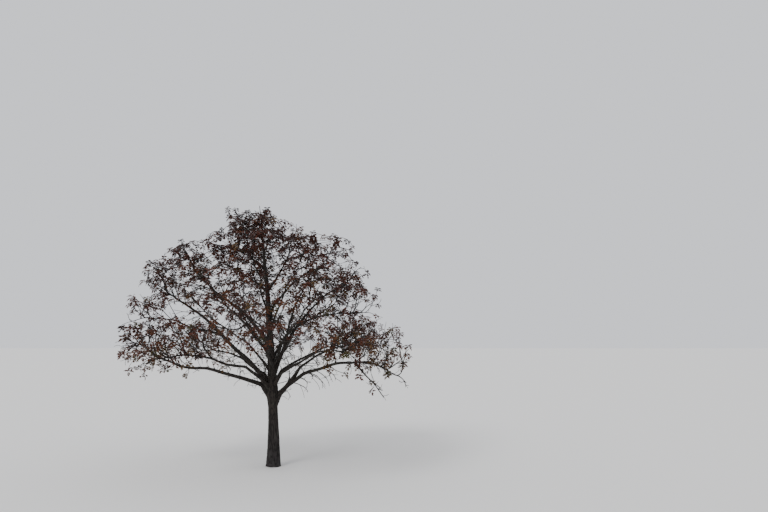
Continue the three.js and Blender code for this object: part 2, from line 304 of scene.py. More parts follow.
def smooth_line(points, radii, step):
    """A curve through the points at even steps, and its radius there."""
    reached = lengths_along(points)
    slopes = np.gradient(points, reached, axis=0)
    places = np.linspace(0, reached[-1], max(FEWEST_POINTS, round(reached[-1] / step) + 1))
    i = np.clip(np.searchsorted(reached, places) - 1, 0, len(points) - 2)
    gap = (reached[i + 1] - reached[i])[:, None]
    t = (places - reached[i])[:, None] / gap
    line = (
        (1 + 2 * t) * (1 - t) ** 2 * points[i]
        + t * (1 - t) ** 2 * gap * slopes[i]
        + t * t * (3 - 2 * t) * points[i + 1]
        + t * t * (t - 1) * gap * slopes[i + 1]
    )
    return line, np.interp(places, reached, radii)


print("a line can be drawn through any points")

# %% [markdown]
# Nothing on a tree is quite straight or quite even. Smooth random numbers, the same for neighbouring
# places and different a little further on, bend the branches here and furrow the bark later.

# %% Smooth random numbers in space
NOISE_CELLS = 32
DRIFT_SEEDS = (5, 6, 7)
DRIFT_START = 60


def noise(places, seed):
    """Smooth random numbers from -1 to 1 at the given places, one hill about each unit."""
    lattice = np.random.default_rng(seed).uniform(-1, 1, (NOISE_CELLS,) * 3)
    cell = np.floor(places).astype(int)
    share = places - cell
    share = share * share * (3 - 2 * share)
    total = np.zeros(places.shape[:-1])
    for corner in np.ndindex(2, 2, 2):
        weight = np.where(corner, share, 1 - share).prod(-1)
        i, j, k = np.moveaxis((cell + corner) % NOISE_CELLS, -1, 0)
        total += weight * lattice[i, j, k]
    return total


def drift(places, size):
    """A slow push this way and that, which changes over that many metres."""
    return np.stack([noise(places / size + DRIFT_START, seed) for seed in DRIFT_SEEDS], -1)


print("random numbers are ready")

# %% [markdown]
# The trunk is cut at even heights from the ground to its tip. It leans to the left and thins quickly
# above the fork, and both come straight from the solid.

# %% Read the trunk
BARK_STEP = 0.03
TRUNK_CUTS = 60
CUT_MARGIN = 0.004

foot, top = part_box("trunk")
heights = np.linspace(foot[2] + CUT_MARGIN, top[2] - CUT_MARGIN, TRUNK_CUTS)
trunk_cuts = [cut(trunk_triangles, height * STRAIGHT_UP, STRAIGHT_UP) for height in heights]
trunk_points = np.array([middle for middle, _ in trunk_cuts])
trunk_radii = np.array([radius for _, radius in trunk_cuts])
lines = {"trunk": smooth_line(trunk_points, trunk_radii, BARK_STEP)}
print(f"the trunk leans {lines['trunk'][0][-1, 0]:.2f} m at its tip")

# %% [markdown]
# A bough is cut first square to the straight line from its foot to its tip, then square to the curve
# that this gives. The cuts are close together near its foot, where it bends most. Its line is carried
# back into the limb that bears it, so that bark meets bark, and sways more and more towards its end.

# %% Read the boughs
CARRIERS = {
    "low_right_upper": "low_right",
    "low_right_hanging_branch": "low_right",
    "mid_left_lower": "mid_left",
    "mid_right_lower": "mid_right",
    "high_right": "mid_right",
}
FOLIAGE = "_foliage"
BOUGH_CUTS = np.r_[0.03, 0.055, 0.085, 0.12, 0.16, np.linspace(0.22, 0.97, 11)]
CUT_PASSES = 3
INTO_CARRIER = 0.7
BACK_STEPS = 30
ROOT_SWELL = 1.05
MOST_OF_CARRIER = 0.8
SWAY = 0.09
SWAY_SIZE = 0.7


def gaps_between(points, others):
    return np.linalg.norm(points[:, None] - others[None], axis=2)


def cut_bough(name, carrier):
    """The middles and radii of a bough's cuts, and the way it heads at each of them."""
    triangles = corners_of(name)
    corners = triangles.reshape(-1, 3)
    base = corners[gaps_between(corners, carrier).min(1).argmin()]
    tip = corners[np.linalg.norm(corners - base, axis=1).argmax()]
    points = base + BOUGH_CUTS[:, None] * (tip - base)
    headings = np.repeat(unit(tip - base)[None], len(points), axis=0)
    for _ in range(CUT_PASSES):
        cuts = [cut(triangles, place, heading) for place, heading in zip(points, headings)]
        points = np.array([middle for middle, _ in cuts])
        headings = unit(np.gradient(points, axis=0))
    return points, [radius for _, radius in cuts], headings


def read_bough(name):
    """The points and radii of a bough, from inside its carrier to where it enters its mass."""
    carrier, carrier_radii = lines[CARRIERS.get(name, "trunk")]
    points, radii, headings = cut_bough(name, carrier)
    behind = points[0] - headings[0] * np.linspace(0, INTO_CARRIER, BACK_STEPS)[:, None]
    gaps = gaps_between(behind, carrier)
    anchor = np.unravel_index(gaps.argmin(), gaps.shape)[1]
    thick = min(radii[0] * ROOT_SWELL, carrier_radii[anchor] * MOST_OF_CARRIER)
    points = points + SWAY * BOUGH_CUTS[:, None] * drift(points, SWAY_SIZE)
    return np.vstack([carrier[anchor], points]), np.r_[thick, radii]


bough_names = [name for name in solids if name != "trunk" and not name.endswith(FOLIAGE)]
bough_names.sort(key=lambda name: (name in CARRIERS, name))
bough_points = {}
for name in bough_names:
    bough_points[name] = read_bough(name)
    lines[name] = smooth_line(*bough_points[name], BARK_STEP)
longest = max(lengths_along(lines[name][0])[-1] for name in bough_names)
print(f"{len(bough_names)} boughs, the longest {longest:.1f} m")

# %% [markdown]
# A bough doesn't stop where its mass begins: it runs on through the leaves to the far side, thinner
# and thinner, and turns up at its end to the light. So each line is led on through its mass. A bough
# that already lies level there has bent under its own weight, and it arches on down to its tip. The
# lowest one on the right weeps furthest. How far a bough runs past the middle of its mass, and how far
# it sags or turns up there, is given as a share of its way to that middle.

# %% Lead the boughs through their masses
LED_SHARES = np.linspace(0.12, 1, 9)
PAST_MIDDLE = 0.62
UPTURN = 0.16
LEVEL = 0.15
SAG = 0.34
DROOP = 0.34
WEEPING = {"low_right": (0.74, -0.52)}
ENTRY_HANDLE = 0.45
SHOOT_RADIUS = 0.0068


def middle_of(triangles):
    """The middle of a closed solid, and its volume."""
    volumes = np.einsum("tx,tx->t", triangles[:, 0], np.cross(triangles[:, 1], triangles[:, 2])) / 6
    return (triangles.sum(1) / 4 * volumes[:, None]).sum(0) / volumes.sum(), abs(volumes.sum())


def arches(name):
    """Whether a bough lies so level at its end that it arches down from there."""
    points, _ = bough_points[name]
    return unit(points[-1] - points[-2])[2] < LEVEL


def lead_on(name, mass):
    """A bough's line with its way through the mass, and how many of its points are the bough's own."""
    points, radii = bough_points[name]
    middle, _ = middle_of(corners_of(mass))
    start, heading = points[-1], unit(points[-1] - points[-2])
    reach = np.linalg.norm(middle - start)
    past, turn = PAST_MIDDLE, UPTURN
    if arches(name):
        middle = middle - STRAIGHT_UP * SAG * reach
        past, turn = WEEPING.get(name, (PAST_MIDDLE, -DROOP))
    end = middle + (middle - start) * past + STRAIGHT_UP * turn * reach
    t = LED_SHARES[:, None]
    onward = (
        (1 - t) ** 3 * start
        + 3 * t * (1 - t) ** 2 * (start + heading * reach * ENTRY_HANDLE)
        + 3 * t**2 * (1 - t) * middle
        + t**3 * end
    )
    onward = onward + SWAY * (drift(onward, SWAY_SIZE) + t * drift(onward, SWAY_SIZE / 2))
    thinning = radii[-1] + (SHOOT_RADIUS - radii[-1]) * LED_SHARES
    line, radii = smooth_line(np.vstack([points, onward]), np.r_[radii, thinning], BARK_STEP)
    return line, radii, int(np.linalg.norm(line - start, axis=1).argmin())


masses = sorted(name for name in solids if name.endswith(FOLIAGE))
own_points = {}
for mass in masses:
    bough = mass[: -len(FOLIAGE)]
    if bough in bough_points:
        line, radii, own_points[bough] = lead_on(bough, mass)
        lines[bough] = (line, radii)
print(f"{len(own_points)} boughs run on through their masses")

# %% [markdown]
# Next come the goals: the places where shoots end. Most of them stand in the masses. A ray straight up
# tells inside from outside: it leaves a mass through an upward face only where it starts inside. Chance
# moves the edge of a mass in and out, which breaks it up. A place outside counts too where it lies in a
# cleft, with two masses on opposite sides of it, because real crowns close up there. Above the top of
# either mass there is no cleft.

# %% Tell which places belong to a mass
EDGE = (-0.14, 0.03)
CLEFT = 0.42
FACING = 0.35
GOAL_SEED = 20

random = np.random.default_rng(GOAL_SEED)
depsgraph = bpy.context.evaluated_depsgraph_get()
shapes = {mass: BVHTree.FromObject(solids[mass], depsgraph) for mass in masses}
tops = {mass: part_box(mass)[1][2] for mass in masses}


def way_to(mass, place):
    """The way from a place to a mass, and how far outside it the place is, below 0 when inside."""
    found, _, _, distance = shapes[mass].find_nearest(place)
    _, ceiling, _, _ = shapes[mass].ray_cast(place, Vector(STRAIGHT_UP))
    inside = ceiling is not None and ceiling.z > 0
    return (found - place).normalized(), -distance if inside else distance


def wanted_there(mass, place):
    """Whether a place is in the mass, in its ragged edge or in a cleft between it and another."""
    way, gap = way_to(mass, place)
    if gap < random.uniform(*EDGE):
        return True
    if gap > CLEFT or place.z > tops[mass]:
        return False
    beyond = (way_to(other, place) for other in masses if other != mass and place.z < tops[other])
    return any(gap < CLEFT and other_way.dot(way) < -FACING for other_way, gap in beyond)


print(f"{len(shapes)} masses, the highest up to {max(tops.values()):.2f} m")

# %% [markdown]
# Goals are strewn through each mass at random but never close together, and closer towards the top of
# the crown. The picture shows the right shoulder more open than that, and two masses under it closer,
# so some masses have a share of their own.

# %% Strew goals in the masses
SHOOT_HEIGHTS = (3.0, 5.0, 6.5, 8.0, 9.0)
SHOOTS_PER_CUBIC_METRE = (23, 23, 24, 35, 60)
DENSITY = {
    "high_front_right": 0.55,
    "high_back_right": 0.55,
    "high_right": 0.72,
    "crown_right": 0.85,
    "mid_right": 0.85,
    "mid_left_inner": 0.72,
    "mid_front_right": 1.2,
    "mid_back_right": 1.2,
}
LEAST_GAP = 0.20
CLEFT_EXTRA = 1.2
TRIES = 60


def strew_in(mass, taken):
    """Goals all through a mass, none nearer than the least gap to another or to those taken."""
    low, high = (np.array(corner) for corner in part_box(mass))
    middle, volume = middle_of(corners_of(mass))
    wanted = CLEFT_EXTRA * volume * np.interp(middle[2], SHOOT_HEIGHTS, SHOOTS_PER_CUBIC_METRE)
    wanted = round(wanted * DENSITY.get(mass[: -len(FOLIAGE)], 1))
    goals = [*taken]
    for place in random.uniform(low - CLEFT, high + CLEFT, (wanted * TRIES, 3)):
        if len(goals) == len(taken) + wanted:
            break
        free = not goals or np.linalg.norm(np.array(goals) - place, axis=1).min() > LEAST_GAP
        if free and wanted_there(mass, Vector(place)):
            goals.append(place)
    return np.array(goals[len(taken):])


goals, taken = {}, []
for mass in masses:
    goals[mass] = strew_in(mass, taken)
    taken.extend(goals[mass])
print(f"{sum(map(len, goals.values()))} goals in {len(goals)} masses")

# %% [markdown]
# More goals stand beside each bough, so that it carries branches before its mass begins. Under the
# lowest bough on the right, fine twigs hang down in a fan: its two stretches each have a start, an end,
# a longest drop and a number of twigs.

# %% Strew goals beside and under a bough
REACHED = 0.13
ALONG_BOUGH = 11.5
ALONG_FROM = 0.05
ASIDE = (0.25, 0.95)
ASIDE_BARE = (0.12, 0.40)
ASIDE_SHARE = 0.20
FLATTENED = (1, 1, 0.7)
ABOVE, BELOW = 0.45, 0.35
BELOW_AT_END = 2
HANGING = {"low_right": [(0.30, 0.50, 0.66, 34), (0.64, 0.97, 0.34, 18)]}
LEAST_DROP = 0.12
HANGING_AHEAD = 0.45
HANGING_SPREAD = 0.20
ON_THE_LEVEL = (1, 1, 0)


def strew_along(name):
    """Goals beside a bough, above it near its foot and all round it further out."""
    line = lines[name][0][: None if arches(name) else own_points.get(name)]
    length = lengths_along(line)[-1]
    count = round(length * ALONG_BOUGH)
    at = random.integers(int(len(line) * ALONG_FROM), len(line), count)
    share = (at / len(line))[:, None]
    near, far = np.minimum(ASIDE if name in own_points else ASIDE_BARE, ASIDE_SHARE * length)
    aside = unit(random.normal(size=(count, 3)) * FLATTENED) * random.uniform(near, far, (count, 1))
    aside += STRAIGHT_UP * random.uniform(-BELOW, ABOVE, (count, 1)) * far
    aside[:, 2:] = np.maximum(aside[:, 2:], -BELOW * far * share * BELOW_AT_END)
    beyond = line[-1] + unit(line[-1] - line[-2]) * REACHED
    return np.vstack([line[at] + aside, beyond])


def strew_under(name, start, end, furthest, count):
    """Goals that hang below one stretch of a bough, the lower ones further out."""
    line = lines[name][0]
    at = (random.uniform(start, end, count) * len(line)).astype(int)
    drop = random.uniform(LEAST_DROP, furthest, count)[:, None]
    ahead = unit(line[-1] - line[0]) * ON_THE_LEVEL * HANGING_AHEAD * drop
    spread = random.uniform(-HANGING_SPREAD, HANGING_SPREAD, (count, 3)) * ON_THE_LEVEL
    return line[at] + ahead + spread - STRAIGHT_UP * drop


print("goals can be strewn along a bough")

# %% [markdown]
# Real branches compete for light. The same rule grows them here: every goal calls the branch that can
# reach it with the least length and the least turning, each called branch grows one short step towards
# its callers while it keeps some of its own heading and rises a little, and a goal that is reached
# falls silent. Branches then leave at sharp angles and spread out, with no list of their shapes.

# %% The rule that grows the branches
STEP = 0.085
TURN_COST = 1.1
KEEP_HEADING = 0.85
RISE = 0.10
WANDER = 0.12
DRIFT = 0.42
DRIFT_SIZE = 0.45
MOST_CHILDREN = 2
MOST_ROUNDS = 160
NUDGE = 1e-6


def calls(places, headings, wanted):
    """What it costs each place to reach each goal."""
    ways = wanted[:, None] - places[None]
    far = np.linalg.norm(ways, axis=2) + NUDGE
    return far * (1 + TURN_COST * (1 - np.einsum("gpx,px->gp", ways, headings) / far))


def way_ahead(pull, headings, places):
    """Where called branches grow: to their callers, straight on, up a little and a little astray."""
    ahead = unit(pull) + KEEP_HEADING * headings + RISE * STRAIGHT_UP
    ahead = ahead + DRIFT * drift(places, DRIFT_SIZE)
    return unit(ahead + random.normal(0, WANDER, ahead.shape))


def grow(places, headings, wanted):
    """Branches from the given places to the goals: all places, headings, parents, and the ends."""
    parents = np.full(len(places), -1)
    children = np.full(len(places), MOST_CHILDREN - 1)
    ends = np.full(len(wanted), -1)
    costs = calls(places, headings, wanted)
    for _ in range(MOST_ROUNDS):
        waiting = np.flatnonzero(ends < 0)
        if not len(waiting):
            break
        open_costs = np.where(children < MOST_CHILDREN, costs[waiting], np.inf)
        called = open_costs.argmin(1)
        pull = np.zeros_like(places)
        np.add.at(pull, called, unit(wanted[waiting] - places[called]))
        growing = np.unique(called)
        ahead = way_ahead(pull[growing], headings[growing], places[growing])
        new = places[growing] + ahead * STEP
        children[growing] += 1
        costs = np.hstack([costs, calls(new, ahead, wanted)])
        first_new = len(places)
        places, headings = np.vstack([places, new]), np.vstack([headings, ahead])
        parents, children = np.r_[parents, growing], np.r_[children, np.zeros(len(new), int)]
        gaps = gaps_between(wanted[waiting], new)
        close = gaps.min(1) < REACHED
        ends[waiting[close]] = first_new + gaps.argmin(1)[close]
    return places, headings, parents, ends


print("the growing rule is ready")

# %% [markdown]
# A branch is as thick as the shoots it feeds: its cross-section is the sum of theirs. Counting the
# shoots beyond each point gives every radius. The points are then strung into strands, each running on
# through its thickest child. They come sorted from the thickest to the thinnest, so that they can be
# smoothed in that order and a side branch still starts on its parent.

# %% String the grown points into strands
def shoots_beyond(parents, shoots):
    """How many shoots each point feeds. The last points are the shoots' own ends."""
    counts = np.zeros(len(parents))
    counts[len(parents) - shoots:] = 1
    for point in range(len(parents) - 1, -1, -1):
        if parents[point] >= 0:
            counts[parents[point]] += counts[point]
    return counts


def strands_of(parents, counts, rooted):
    """Runs of points, each from its parent's point to a shoot's end."""
    offspring = [[] for _ in parents]
    for point in range(len(parents) - 1, rooted - 1, -1):
        if counts[point] > 0:
            offspring[parents[point]].append(point)
    starts = [(root, child) for root in range(rooted) for child in offspring[root]]
    strands = []
    while starts:
        parent, point = starts.pop()
        strand = [parent, point]
        while offspring[point]:
            heirs = sorted(offspring[point], key=lambda child: -counts[child])
            starts.extend((point, heir) for heir in heirs[1:])
            point = heirs[0]
            strand.append(point)
        strands.append(strand)
    return sorted(strands, key=lambda strand: -counts[strand[1]])


print("strands can be strung")

# %% [markdown]
# Every piece of wood is a tube: a ring of points round each point of its line, closed with a point at
# both ends. The bark of trunk and boughs needs many points a ring, a twig only four or five. Twigs and
# leaves are joined into one mesh for each limb, because thousands of small objects would be slow.

# %% Tubes, and joined meshes
def ring_ways(line, sides):
    """Unit ways out from a line, one ring of them at each of its points."""
    headings = unit(np.gradient(line, axis=0))
    upright = np.eye(3)[np.abs(unit(line[-1] - line[0])).argmin()]
    side = unit(np.cross(headings, upright))
    other = np.cross(headings, side)
    angles = np.linspace(0, 2 * math.pi, sides, endpoint=False)[None, :, None]
    return side[:, None] * np.cos(angles) + other[:, None] * np.sin(angles)


def tube_faces(rings, sides):
    """Triangles between the rings, and from the outer rings to the point at each end."""
    here = np.arange(sides)
    after = (here + 1) % sides
    band = np.vstack([
        np.stack([here, after, after + sides], 1),
        np.stack([here, after + sides, here + sides], 1),
    ])
    wall = (band[None] + (np.arange(rings - 1) * sides)[:, None, None]).reshape(-1, 3)
    start, end = np.full(sides, rings * sides), np.full(sides, rings * sides + 1)
    outer = (rings - 1) * sides
    return np.vstack([
        wall,
        np.stack([after, here, start], 1),
        np.stack([here + outer, after + outer, end], 1),
    ])


def joined(parts):
    """Parts, each its points, triangles and finish number, as those of one mesh."""
    points, faces, numbers = zip(*parts)
    firsts = np.cumsum([0, *map(len, points[:-1])])
    moved = [triangles + first for triangles, first in zip(faces, firsts)]
    return np.vstack(points), np.vstack(moved), np.repeat(numbers, [len(part) for part in faces])


def add_piece(name, points, faces, finishes, which=None, furrow=None):
    """A mesh that rides on the tree, each face with one of its finishes."""
    mesh = bpy.data.meshes.new(name)
    mesh.from_pydata(points.tolist(), [], faces.tolist())
    for finish in finishes:
        mesh.materials.append(finish)
    if which is not None:
        mesh.polygons.foreach_set("material_index", which)
    if furrow is not None:
        mesh.attributes.new("furrow", "FLOAT", "POINT").data.foreach_set("value", furrow)
    mesh.shade_smooth()
    piece = bpy.data.objects.new(name, mesh)
    bpy.context.scene.collection.objects.link(piece)
    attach(piece, "root")
    return piece


print("tubes can be made")

# %% [markdown]
# The relief of the bark is worked out from smooth random numbers all through space, stretched along
# the limb. Where they pass through zero they draw long lines that part and meet again, as the furrows
# of walnut bark do. The ridges between them stay broad and a little rough. Furrows scale with the
# limb: deep on the trunk, faint on the boughs, and gone on the thin wood.

# %% Bark relief
FURROW_WIDTH = 0.30
FURROW_DEPTH = 0.062
LEAST_DEPTH = 0.0008
FURROW_STRETCH = 6
FURROW_SHARPNESS = 0.8
LEAST_CELL, CELL_SHARE = 0.010, 0.125
SIDE_FURROWS, SIDE_FURROW_SCALE = 0.35, (2.3, 2.3, 3)
LUMP_SHARE, LUMP_SCALE = 0.22, (3, 3, 8)
MEAN_FURROW = 0.5
RELIEF_START = 40


def bark_relief(radii, sides, reached, seed):
    """How far each point of the bark stands in from the limb's round, and how deep in a furrow it is."""
    angles = np.linspace(0, 2 * math.pi, sides, endpoint=False)
    wide = radii[:, None]
    cell = LEAST_CELL + CELL_SHARE * wide
    run = np.cumsum(np.r_[0, np.diff(reached)] / (FURROW_STRETCH * cell[:, 0]))
    place = np.stack(np.broadcast_arrays(
        wide * np.cos(angles) / cell, wide * np.sin(angles) / cell, run[:, None]), -1)
    waves = noise(place + RELIEF_START, seed)
    waves = waves + SIDE_FURROWS * noise(place * SIDE_FURROW_SCALE + RELIEF_START, seed + 1)
    furrow = np.clip(1 - np.abs(waves) / FURROW_WIDTH, 0, 1) ** FURROW_SHARPNESS
    lumps = noise(place * LUMP_SCALE + RELIEF_START, seed + 2)
    depth = np.maximum(FURROW_DEPTH * wide, LEAST_DEPTH)
    return depth * (MEAN_FURROW - furrow - LUMP_SHARE * lumps), furrow


def bark_tube(name, line, radii, sides, seed, outline=None):
    """A limb's bark as a closed tube, in place of the limb's solid."""
    relief, furrow = bark_relief(radii, sides, lengths_along(line), seed)
    wide = radii[:, None] if outline is None else outline
    rings = line[:, None] + ring_ways(line, sides) * (wide + relief)[:, :, None]
    points = np.vstack([rings.reshape(-1, 3), line[[0, -1]]])
    faces = tube_faces(len(line), sides)
    piece = add_piece(name + "_bark", points, faces, [BARK], furrow=np.r_[furrow.ravel(), 1, 0])
    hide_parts(name)
    return len(faces)


print("bark relief is ready")

# %% [markdown]
# The trunk gets the finest bark. Its outline isn't round: ribs run down into the root flare. Rays sent
# out from its centreline find the solid's own outline, and only its slow waves are kept, so that the
# ribs stay and the flat faces of the solid go. Above the fork its rings stand twice as far apart.

# %% Bark on the trunk
TRUNK_SIDES = 112
TRUNK_STEP_LOW = 0.013
TRUNK_STEP_HIGH = 0.026
FINE_BELOW = 3.0
RIB_WAVES = 7
TRUNK_BARK_SEED = 1


def outline_of(name, line, sides):
    """How far a solid's surface lies from its line, all round each ring, without its flat faces."""
    tree = BVHTree.FromObject(solids[name], depsgraph)
    found = np.empty((len(line), sides))
    for i, ways in enumerate(ring_ways(line, sides)):
        middle = Vector(line[i])
        for j, way in enumerate(ways):
            found[i, j] = tree.ray_cast(middle, Vector(way))[3] or 0
    waves = np.fft.rfft(found, axis=1)
    waves[:, RIB_WAVES:] = 0
    return np.fft.irfft(waves, sides, axis=1)


line, radii = smooth_line(trunk_points, trunk_radii, TRUNK_STEP_LOW)
keep_every = round(TRUNK_STEP_HIGH / TRUNK_STEP_LOW)
rings = [i for i in range(len(line)) if line[i, 2] < FINE_BELOW or i % keep_every == 0]
line, radii = line[rings], radii[rings]
line[0, 2] = 0
outline = outline_of("trunk", line, TRUNK_SIDES)
count = bark_tube("trunk", line, radii, TRUNK_SIDES, TRUNK_BARK_SEED, outline)
print(f"the trunk's bark has {count} triangles")

# %% [markdown]
# Now the branches grow, limb by limb. They may start almost anywhere on a bough, also on its way through
# its mass, and on the upper part of the trunk, which bears the top of the crown. The radii of a bough
# inside its mass are worked out at the same time, from the shoots that it still has to feed.

# %% Grow the branches of every mass
START_SHARE = 0.06
START_GAP = 0.24
TOP_START_HEIGHT = 7.0
TIP_RISE = 0.5
BRANCH_POWER = 0.50
LEAST_THINNING = 1.3
FEWEST_FED = 3
MOST_RADIUS_SHARE = 0.85


def start_points(name):
    """The numbers of the line's points where branches may start, evenly spaced."""
    line, _ = lines[name]
    if name == "trunk":
        low = int((line[:, 2] < TOP_START_HEIGHT).sum())
    else:
        low = int(own_points.get(name, len(line)) * START_SHARE)
    return np.arange(low, len(line), round(START_GAP / BARK_STEP))


def thin_through_mass(name, starts, counts):
    """Thins a bough on its way through its mass, as it has fewer and fewer shoots to feed."""
    line, radii = lines[name]
    own = own_points[name]
    thick = radii[own]
    fed = counts[min((starts < own).sum(), len(starts) - 1)]
    power = np.log(max(thick / SHOOT_RADIUS, LEAST_THINNING)) / np.log(max(fed, FEWEST_FED))
    led_radii = SHOOT_RADIUS * np.maximum(counts, 1) ** power
    radii[own:] = np.minimum(np.interp(np.arange(own, len(line)), starts, led_radii), thick)


def grow_from(name, wanted):
    """What grows from one limb: points, their headings and radii, strands, and a count of shoots."""
    line, radii = lines[name]
    starts = start_points(name)
    rooted = len(starts)
    headings = unit(np.gradient(line, axis=0))[starts]
    places, headings, parents, ends = grow(line[starts], headings, wanted)
    tips, last = wanted[ends >= 0], ends[ends >= 0]
    tip_headings = unit(unit(tips - places[last]) + headings[last] + TIP_RISE * STRAIGHT_UP)
    places, headings = np.vstack([places, tips]), np.vstack([headings, tip_headings])
    parents = np.r_[parents, last]
    counts = shoots_beyond(parents, len(tips))
    counts[:rooted] = np.cumsum(counts[:rooted][::-1])[::-1]
    if name in own_points:
        thin_through_mass(name, starts, counts[:rooted])
    widths = SHOOT_RADIUS * np.maximum(counts, 1) ** BRANCH_POWER
    widths[:rooted] = radii[starts]
    strands = strands_of(parents, counts, rooted)
    for strand in strands:
        widths[strand[1:]] = np.minimum(widths[strand[1:]], widths[strand[0]] * MOST_RADIUS_SHARE)
    return places, headings, widths, strands, len(tips)


def crown_name(name):
    """The name that a limb's mass, twigs and leaves share: the trunk bears the top of the crown."""
    return "crown_top" if name == "trunk" else name


grown = {}
for name in ["trunk", *bough_names]:
    mass = crown_name(name) + FOLIAGE
    wanted = [goals[mass]] if mass in goals else []
    if name != "trunk":
        wanted.append(strew_along(name))
    wanted.extend(strew_under(name, *stretch) for stretch in HANGING.get(name, []))
    grown[name] = grow_from(name, np.vstack(wanted))
strand_count = sum(len(strands) for _, _, _, strands, _ in grown.values())
shoot_count = sum(tips for _, _, _, _, tips in grown.values())
print(f"{strand_count} strands, {shoot_count} shoots")

# %% [markdown]
# With the radii known, each bough gets its bark in one piece, from inside the limb that bears it to the
# far side of its mass. A swelling at its foot stands for the collar of real wood.

# %% Bark on the boughs
SIDE_WIDTH = 0.015
FEWEST_SIDES, MOST_SIDES = 14, 30
COLLAR_SWELL, COLLAR_LENGTH = 0.50, 0.30
FIRST_BOUGH_SEED = 10

count = 0
for number, name in enumerate(bough_names):
    line, radii = lines[name]
    collar = 1 + COLLAR_SWELL * np.exp(-lengths_along(line) / COLLAR_LENGTH)
    sides = int(np.clip(2 * math.pi * radii[0] / SIDE_WIDTH, FEWEST_SIDES, MOST_SIDES))
    count += bark_tube(name, line, radii * collar, sides, FIRST_BOUGH_SEED + number)
print(f"the boughs' bark has {count} triangles")

# %% [markdown]
# The grown strands become tubes too, joined into one mesh for each limb. Thick strands wear the smooth
# bark of branches, thin ones the brown of young shoots, and thin ones need fewer sides.

# %% Branches and twigs
SMOOTHINGS = 2
YOUNG_UNDER = 0.0075
SIDES_UNDER = {0.007: 4, 0.012: 5, 0.02: 7}
SIDES_OF_THICKEST = 9
TAPER_AT_START = 1.5
TAPER_AT_END = 0.8


def sides_for(radius):
    return next((sides for under, sides in SIDES_UNDER.items() if radius < under), SIDES_OF_THICKEST)


def strand_tube(places, widths, strand):
    """A strand's tube. Its smoothed points are written back for the strands that start on it."""
    line = places[strand]
    for _ in range(SMOOTHINGS):
        line[1:-1] = line[1:-1] / 2 + (line[:-2] + line[2:]) / 4
    places[strand] = line
    radii = widths[strand].copy()
    radii[0] = min(radii[0] * MOST_RADIUS_SHARE, radii[1] * TAPER_AT_START)
    radii[-1] = SHOOT_RADIUS * TAPER_AT_END
    sides = sides_for(radii[1])
    rings = line[:, None] + ring_ways(line, sides) * radii[:, None, None]
    return np.vstack([rings.reshape(-1, 3), line[[0, -1]]]), tube_faces(len(line), sides)


count = 0
for name, (places, _, widths, strands, _) in grown.items():
    tubes = [(*strand_tube(places, widths, strand), int(widths[strand[1]] < YOUNG_UNDER))
             for strand in strands]
    points, faces, which = joined(tubes)
    add_piece(crown_name(name) + "_twigs", points, faces, [BRANCH, SHOOT], which)
    count += len(faces)
print(f"branches and twigs have {count} triangles")

# %% [markdown]
# A young walnut leaf has a stalk with two or three pairs of leaflets and one at its end, arching out
# and down. A leaflet is four triangles: two halves with a fold along the midrib.

# %% Model a leaf
LEAFLET_LENGTH = 0.074
LEAFLET_WIDTH = 0.043
STALK_WIDTH = 0.0032
STALK_RISE = 0.35
STALK_POINTS = 3
FIRST_PAIR, LAST_PAIR = 0.42, 0.86
FOLD = 0.35
LEAFLET_DROOP = 0.12
LEAFLET_FORWARD = 1.1
LEAFLET_HANG = (0.1, 0.5)
LEAFLET_SIZES = (0.75, 1.1)
END_LEAFLET_SIZE = 1.1
PAIR_SIZE, PAIR_SIZE_GAIN = 0.7, 0.35
LEAFLET_OUTLINE = np.array([(0, 0), (0.32, 0.42), (0.70, 0.40), (1, 0), (0.70, -0.40), (0.32, -0.42)])
LEAFLET_FACES = np.array([(0, 3, 2), (0, 2, 1), (0, 4, 3), (0, 5, 4)])
STALK_FACES = np.array([(0, 3, 1), (3, 4, 1), (1, 4, 2), (4, 5, 2)])


def leaflet(base, heading, size):
    """One leaflet: a pointed oval folded along its midrib."""
    side = unit(np.cross(STRAIGHT_UP, heading) + NUDGE)
    up = np.cross(heading, side)
    length = LEAFLET_LENGTH * size
    along, across = LEAFLET_OUTLINE[:, :1] * length, LEAFLET_OUTLINE[:, 1:] * (LEAFLET_WIDTH * size)
    lift = np.abs(across) * FOLD - LEAFLET_OUTLINE[:, :1] ** 2 * length * LEAFLET_DROOP
    return base + along * heading + across * side + lift * up


def stalk_point(t, length, sag):
    """The point at share t of a stalk, which leaves along +X, rises and then sags."""
    return np.stack([t * length, 0 * t, length * (STALK_RISE * t - sag * t * t)], -1)


def leaf(length, pairs, sag):
    """A leaf along +X that arches down: its points and triangles."""
    stalk = stalk_point(np.linspace(0, 1, STALK_POINTS), length, sag)
    edge = np.array([0, STALK_WIDTH / 2, 0])
    parts = [(np.vstack([stalk + edge, stalk - edge]), STALK_FACES, 0)]
    seats = [(t, side) for t in np.linspace(FIRST_PAIR, LAST_PAIR, pairs) for side in (-1, 1)]
    for t, side in [*seats, (1.0, 0)]:
        forward = unit(np.array([1, 0, STALK_RISE - 2 * sag * t]))
        hang = STRAIGHT_UP * random.uniform(*LEAFLET_HANG)
        way = unit(forward * LEAFLET_FORWARD + side * np.array([0, 1, 0]) - hang)
        size = END_LEAFLET_SIZE if side == 0 else PAIR_SIZE + PAIR_SIZE_GAIN * t
        size = random.uniform(*LEAFLET_SIZES) * size
        parts.append((leaflet(stalk_point(t, length, sag), way, size), LEAFLET_FACES, 0))
    return joined(parts)[:2]


print(f"a leaflet is up to {LEAFLET_LENGTH * LEAFLET_SIZES[1] * END_LEAFLET_SIZE * 1000:.0f} mm long")

# %% [markdown]
# Seven to nine such leaves stand round the end of each shoot, each turned on from the one below it. The
# lowest is the longest and the most level, the highest the youngest and steepest. Fourteen different
# sprays are enough, since each is turned, tilted and sized anew wherever it goes.

